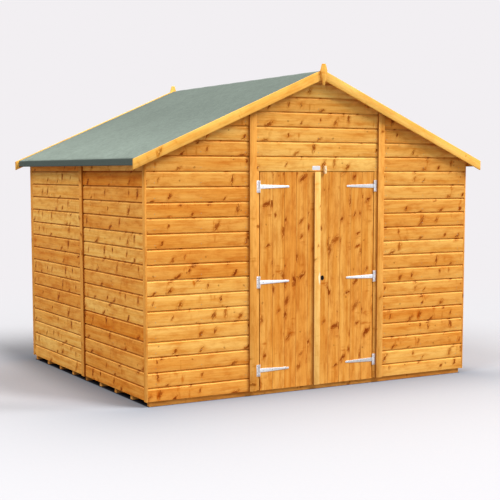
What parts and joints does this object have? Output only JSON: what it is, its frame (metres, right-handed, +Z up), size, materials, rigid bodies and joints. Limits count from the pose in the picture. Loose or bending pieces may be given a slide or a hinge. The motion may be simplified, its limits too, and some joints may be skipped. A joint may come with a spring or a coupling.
{
  "type": "garden shed",
  "caption": "Apex garden shed with shiplap walls, a boarded floor, a felted pitched roof, ledged double doors on tee hinges and a turn button above them.",
  "frame": {"origin": "on the ground under the middle of the shed", "axes": "+X to the right across the door front, +Y from the door front to the back, +Z up"},
  "size_m": [3.221, 2.682, 2.5637],
  "materials": {
    "joist_wood": "rough-sawn softwood, dip-treated",
    "floor_wood": "planed tongue-and-groove boards",
    "cladding_wood": "shiplap softwood with an amber dip stain",
    "frame_wood": "planed softwood bars",
    "trim_wood": "planed softwood, paler amber stain",
    "roof_wood": "planed boards and bars, unpainted inside",
    "felt": "bitumen felt with green mineral chips",
    "zinc": "bright zinc plate",
    "door_wood": "tongue-and-groove boards with a deeper amber stain",
    "lock_black": "black enamel",
    "button_wood": "pale planed softwood"
  },
  "bodies": {
    "shed": {"floor_joists": "joist_wood", "floor_deck": "floor_wood", "front_left_cladding": "cladding_wood", "front_right_cladding": "cladding_wood", "front_gable_cladding": "cladding_wood", "rear_left_cladding": "cladding_wood", "rear_middle_cladding": "cladding_wood", "rear_right_cladding": "cladding_wood", "left_front_cladding": "cladding_wood", "left_rear_cladding": "cladding_wood", "right_front_cladding": "cladding_wood", "right_rear_cladding": "cladding_wood", "front_frame": "frame_wood", "door_frame": "frame_wood", "rear_frame": "frame_wood", "left_frame": "frame_wood", "right_frame": "frame_wood", "front_cover_strips": "trim_wood", "rear_cover_strips": "trim_wood", "side_cover_strips": "trim_wood", "corner_strips": "trim_wood", "front_left_barge": "trim_wood", "front_right_barge": "trim_wood", "rear_left_barge": "trim_wood", "rear_right_barge": "trim_wood", "front_finial": "trim_wood", "rear_finial": "trim_wood", "left_roof_boards": "roof_wood", "right_roof_boards": "roof_wood", "left_roof_bearers": "roof_wood", "right_roof_bearers": "roof_wood", "roof_tie": "roof_wood", "left_felt": "felt", "right_felt": "felt", "hinge_plates": "zinc", "button_screw": "zinc"},
    "left_door": {"left_door_leaf": "door_wood", "left_door_ledges": "door_wood", "left_hinge_straps": "zinc", "meeting_strip": "door_wood"},
    "right_door": {"right_door_leaf": "door_wood", "right_door_ledges": "door_wood", "right_hinge_straps": "zinc", "door_lock": "lock_black"},
    "turn_button": {"turn_button": "button_wood"}
  },
  "joints": [
    {"name": "left_door_hinge", "type": "hinge", "parent": "shed", "child": "left_door", "pos_m": [-0.5375, -1.2722, 0.883], "axis": [0, 0, -1], "range_deg": [0, 155]},
    {"name": "right_door_hinge", "type": "hinge", "parent": "shed", "child": "right_door", "pos_m": [0.5375, -1.2722, 0.883], "axis": [0, 0, 1], "range_deg": [0, 155]},
    {"name": "turn_button_pivot", "type": "hinge", "parent": "shed", "child": "turn_button", "pos_m": [0.053, -1.282, 1.752], "axis": [0, -1, 0], "range_deg": [0, 90]}
  ]
}
